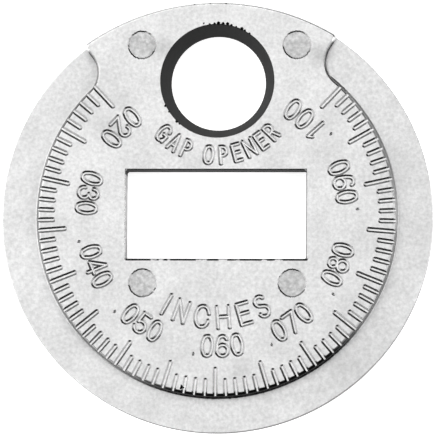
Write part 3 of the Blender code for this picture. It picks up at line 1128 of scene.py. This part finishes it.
def shade_step_corner(tree, place, base, steep, radius, mottle):
    """Painted shade along the lower corner of the step, only where the surface isn't flat."""
    low_side = vector_sum(tree, "DOT_PRODUCT", place, polar(1.0, CORNER_SHADE_DIRECTION))["Value"]
    ragged = calculate(tree, "MULTIPLY_ADD", mottle, RAGGEDNESS, radius)
    corner_shade = product(
        tree,
        fade(tree, low_side, *CORNER_SHADE_SPAN),
        fade(tree, ragged, *CORNER_SHADE_INNER_EDGE),
        fade(tree, ragged, *CORNER_SHADE_OUTER_EDGE),
        fade(tree, steep, *CORNER_SHADE_SLOPE),
    )
    return mix(tree, corner_shade, base, colour("#1C1C1C"))


# %% [markdown]
# ## The metal
#
# The material is zinc, pressure die-cast and tumbled: the eye reads it as a pale satin metal whose
# faces scatter the light softly, whose eased edges catch it, and whose walls, darkened by painted
# shade, draw the figures.
# The faces are rough metal, the half-steep walls are smoother, and the steepest ones are a dull skin
# with no metal shine, so the metallic share and the roughness both follow the slope.

# %% Cast zinc
def cast_zinc():
    material = bpy.data.materials.new("die_cast_zinc_tumbled")
    material.use_nodes = True
    tree = material.node_tree
    shader = tree.nodes["Principled BSDF"].inputs
    coordinates = node(tree, "ShaderNodeTexCoord").outputs
    place = coordinates["Object"]
    split_place = node(tree, "ShaderNodeSeparateXYZ", inputs={"Vector": place}).outputs
    height, north = split_place["Z"], split_place["Y"]
    facing = node(tree, "ShaderNodeSeparateXYZ", inputs={"Vector": coordinates["Normal"]}).outputs
    steep = calculate(tree, "ABSOLUTE", facing["Z"])
    flat = vector_sum(tree, "MULTIPLY", place, (1.0, 1.0, 0.0))[0]
    radius = vector_sum(tree, "LENGTH", flat)["Value"]
    mottle = noise(tree, place, MOTTLE_SIZE, 2.0, 0.6)["Fac"]

    gentle = gentle_slope(tree, place, steep, radius, north)
    inside = slope_shade_share(tree, radius, north)
    # Painted shade: the steeper the surface, the darker its colour.
    painted_slope_shade = ramp(tree, gentle, [(position, colour(text)) for position, text in PAINTED_SLOPE_SHADES])
    painted_shade = mix(tree, inside, WHITE, painted_slope_shade)
    base = vector_sum(tree, "MULTIPLY", face_tone(tree, place, height, mottle), painted_shade)[0]
    # Painted light on the window's left wall and painted shade along its lower edge.
    base = paint_window_light_and_shade(tree, place, base, facing["X"], radius, north, height)
    # Painted shade in the lower corner of the step.
    base = shade_step_corner(tree, place, base, steep, radius, mottle)
    tree.links.new(base, shader["Base Color"])

    bare = fade(tree, gentle, 0.4, 0.6)
    metallic = calculate(tree, "MAXIMUM", bare, calculate(tree, "SUBTRACT", 1.0, inside))
    tree.links.new(metallic, shader["Metallic"])
    greys = [(position, (value, value, value, 1.0)) for position, value in SLOPE_ROUGHNESS]
    tree.links.new(ramp(tree, gentle, greys), shader["Roughness"])
    bump = node(tree, "ShaderNodeBump", inputs={"Height": mottle, "Strength": 0.3, "Distance": 0.02 * MM})
    tree.links.new(bump.outputs["Normal"], shader["Normal"])
    shader["Specular IOR Level"].default_value = 0.2
    print("zinc:", len(tree.nodes), "nodes")
    return material


casting.data.materials.clear()
casting.data.materials.append(cast_zinc())
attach(casting, "root")
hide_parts("gauge_body")

# %% [markdown]
# ## Floor and light
#
# The gauge lies on a plain pale floor. The floor is lifted to white for the camera and for what the
# metal mirrors, by a little light of its own that it gives to nothing else, and it still takes the
# gauge's shadow. It lies a hair below the back face, so that the two don't share a plane.
#
# The light is plain and soft. A wide box overhead lights the faces. Two low boxes, left and right,
# light the walls that face them. A weak one behind fills the walls that face up the picture, and
# nothing stands at the near side, so the walls that face down the picture stay dark. That is what
# makes sunk figures read as sunk.

# %% Floor and light
FLOOR_LIFT = 0.72
FLOOR_DROP = 0.02 * MM
# Name, direction in degrees, distance and height in metres, two sizes in metres, level.
LOW_BOXES = (
    ("back_fill", 114, 1.0, 0.3, 0.9, 0.5, 0.8),
    ("left_side", 194, 1.0, 0.36, 1.8, 0.6, 2.5),
    ("right_side", 346, 0.9, 0.55, 1.0, 1.05, 2.0),
)


def make_floor():
    bm = bmesh.new()
    bmesh.ops.create_grid(bm, x_segments=1, y_segments=1, size=1.0)
    bmesh.ops.translate(bm, vec=(0.0, 0.0, -FLOOR_DROP), verts=bm.verts)
    floor = add_object("floor", to_mesh(bm, "floor"))
    material = bpy.data.materials.new("pale_floor")
    material.use_nodes = True
    tree = material.node_tree
    shader = tree.nodes["Principled BSDF"].inputs
    shader["Base Color"].default_value = colour("#E6E6E6")
    shader["Roughness"].default_value = 0.9
    path = node(tree, "ShaderNodeLightPath").outputs
    seen = calculate(tree, "MAXIMUM", path["Is Camera Ray"], path["Is Glossy Ray"])
    seen = calculate(tree, "MAXIMUM", seen, path["Is Transmission Ray"])
    tree.links.new(product(tree, seen, FLOOR_LIFT), shader["Emission Strength"])
    shader["Emission Color"].default_value = WHITE
    floor.data.materials.append(material)


def add_light(name, place, size, size_y, level):
    """A softbox that faces the gauge. At a level of 1 it looks just white itself."""
    data = bpy.data.lights.new(name, "AREA")
    data.shape = "RECTANGLE"
    data.size = size
    data.size_y = size_y
    data.energy = level * math.pi * size * size_y
    light = bpy.data.objects.new(name, data)
    light.location = place
    light.rotation_euler = Vector(place).to_track_quat("Z", "Y").to_euler()
    bpy.context.scene.collection.objects.link(light)


def make_sky():
    """A dim sky that is a little brighter overhead."""
    world = bpy.data.worlds.new("studio")
    bpy.context.scene.world = world
    world.use_nodes = True
    sky = world.node_tree
    direction = node(sky, "ShaderNodeTexCoord").outputs["Generated"]
    upward = node(sky, "ShaderNodeSeparateXYZ", inputs={"Vector": direction}).outputs["Z"]
    background = sky.nodes["Background"].inputs
    sky.links.new(fade(sky, upward, 0.05, 0.6, 0.03, 0.17), background["Strength"])
    background["Color"].default_value = WHITE


make_floor()
make_sky()
add_light("overhead", (-0.3, 0.38, 0.9), 1.9, 0.9, 2.15)
for name, direction, reach, rise, size, size_y, level in LOW_BOXES:
    add_light(name, polar(reach, math.radians(direction), rise), size, size_y, level)
bpy.context.scene.view_settings.view_transform = "Standard"
print("lights:", len(bpy.data.lights))
